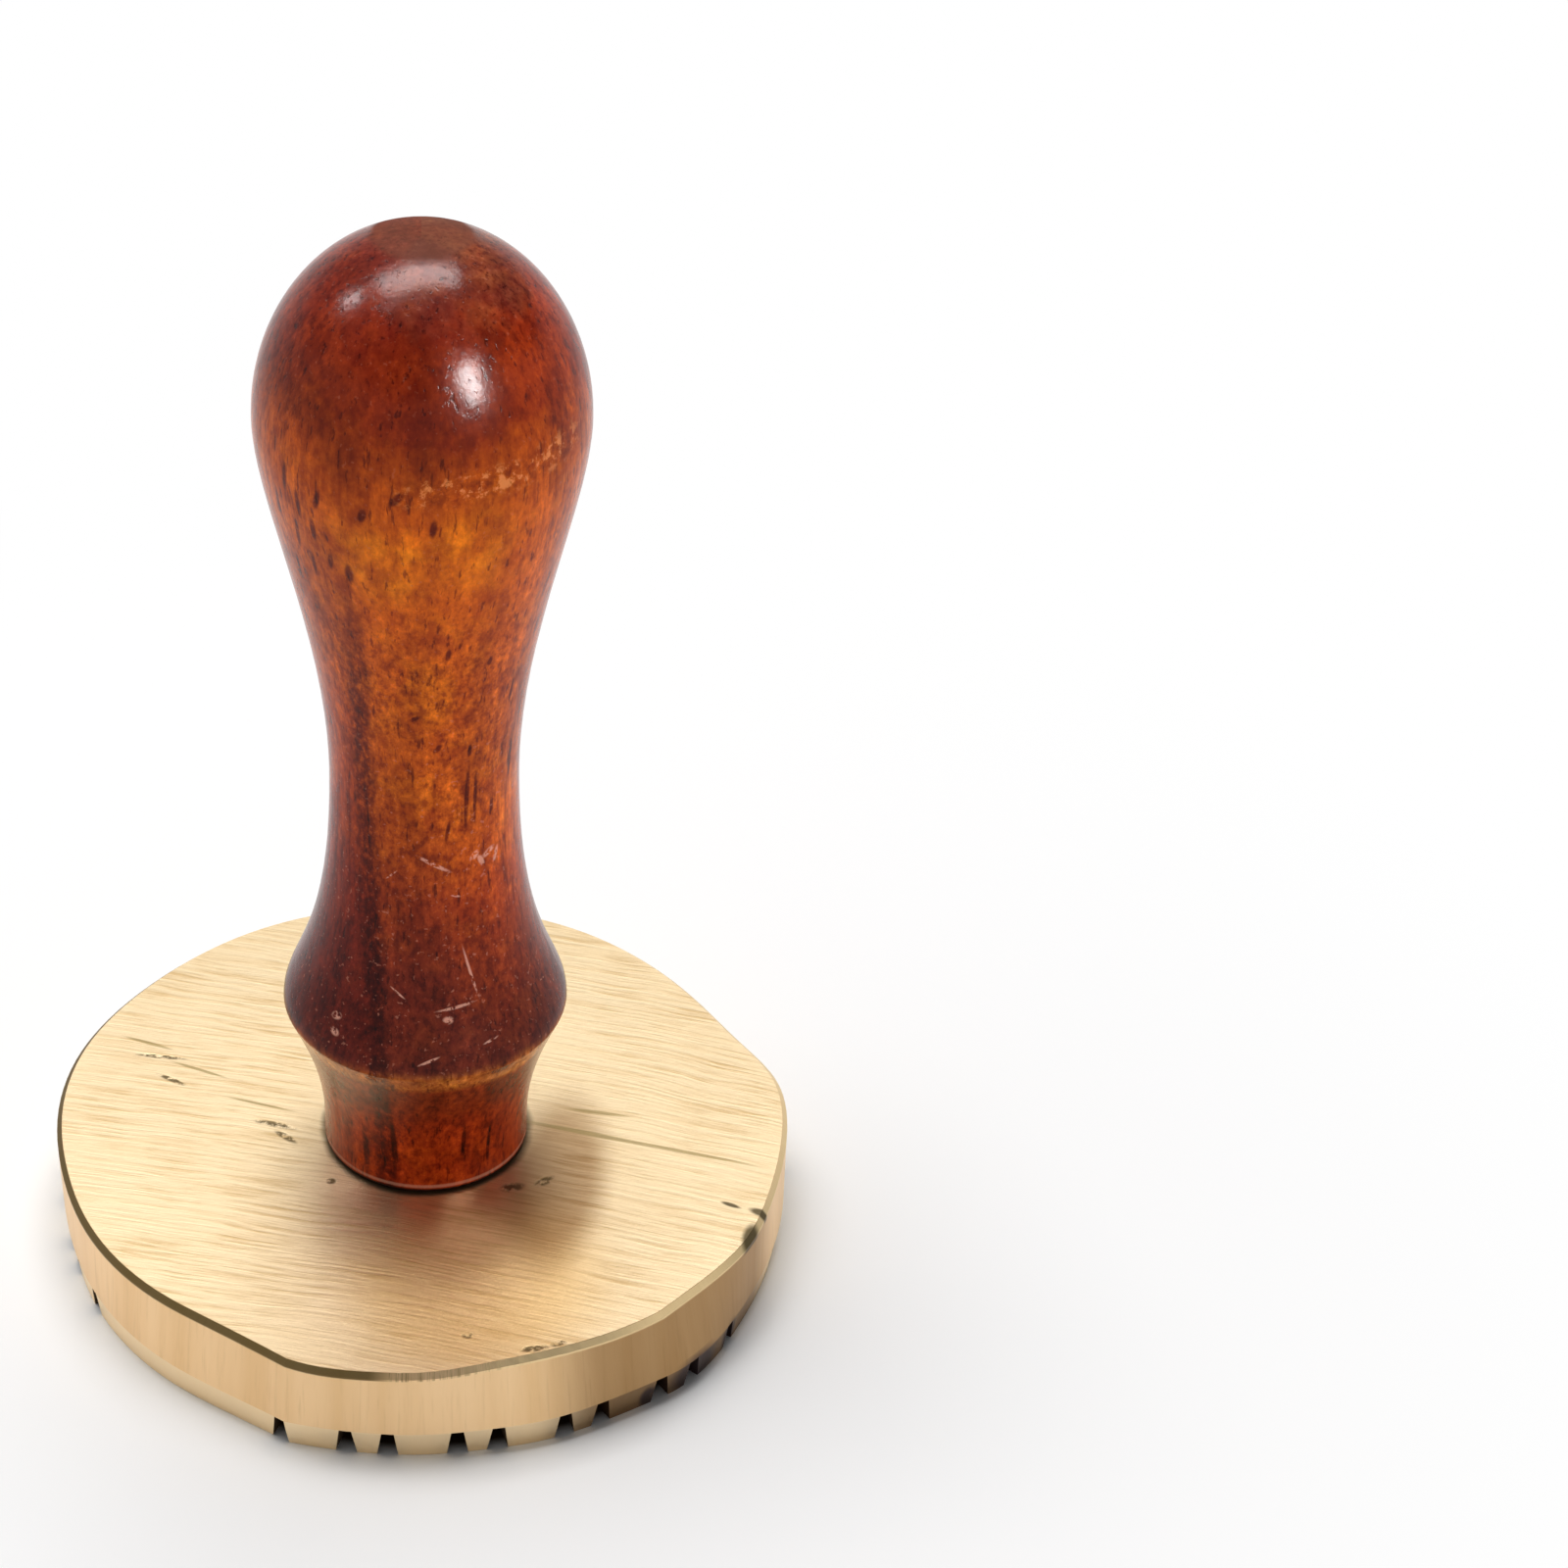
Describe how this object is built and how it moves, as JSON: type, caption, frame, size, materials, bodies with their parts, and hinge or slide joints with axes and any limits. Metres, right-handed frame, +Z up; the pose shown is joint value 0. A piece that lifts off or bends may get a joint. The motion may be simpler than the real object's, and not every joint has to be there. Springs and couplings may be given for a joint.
{
  "type": "clay stamp",
  "caption": "Hand stamp for clay: a round engraved brass plate with a raised relief, on a turned lacquered wooden handle that unscrews.",
  "frame": {"origin": "middle of the stamping face, on the handle's axis, at the level of the relief's faces", "axes": "+Z up the handle's axis, away from the clay; -Y towards the toothed run of the border that the picture shows in front; +X to the right"},
  "size_m": [0.064, 0.0644, 0.0994],
  "materials": {
    "engraved_brass": "sawn and brushed, with dark burrs at the rim",
    "zinc_steel": "machined, zinc plated",
    "turned_brass": "machined",
    "lacquered_wood": "glossy red-brown lacquer, worn at the edges"
  },
  "bodies": {
    "plate": {"die_plate": "engraved_brass"},
    "stud": {"threaded_stud": "zinc_steel"},
    "grip": {"handle": "lacquered_wood", "threaded_insert": "turned_brass"}
  },
  "joints": [
    {"name": "handle_turn", "type": "hinge", "parent": "plate", "child": "stud", "pos_m": [0, 0, 0.0092], "axis": [0, 0, 1], "range_deg": [0, 3816]},
    {"name": "handle_lift", "type": "slide", "parent": "stud", "child": "grip", "axis": [0, 0, 1], "range_m": [0, 0.0106]}
  ],
  "couplings": [
    {"joint": "handle_lift", "follows": "handle_turn", "m_per_rad": 0.00015915}
  ]
}
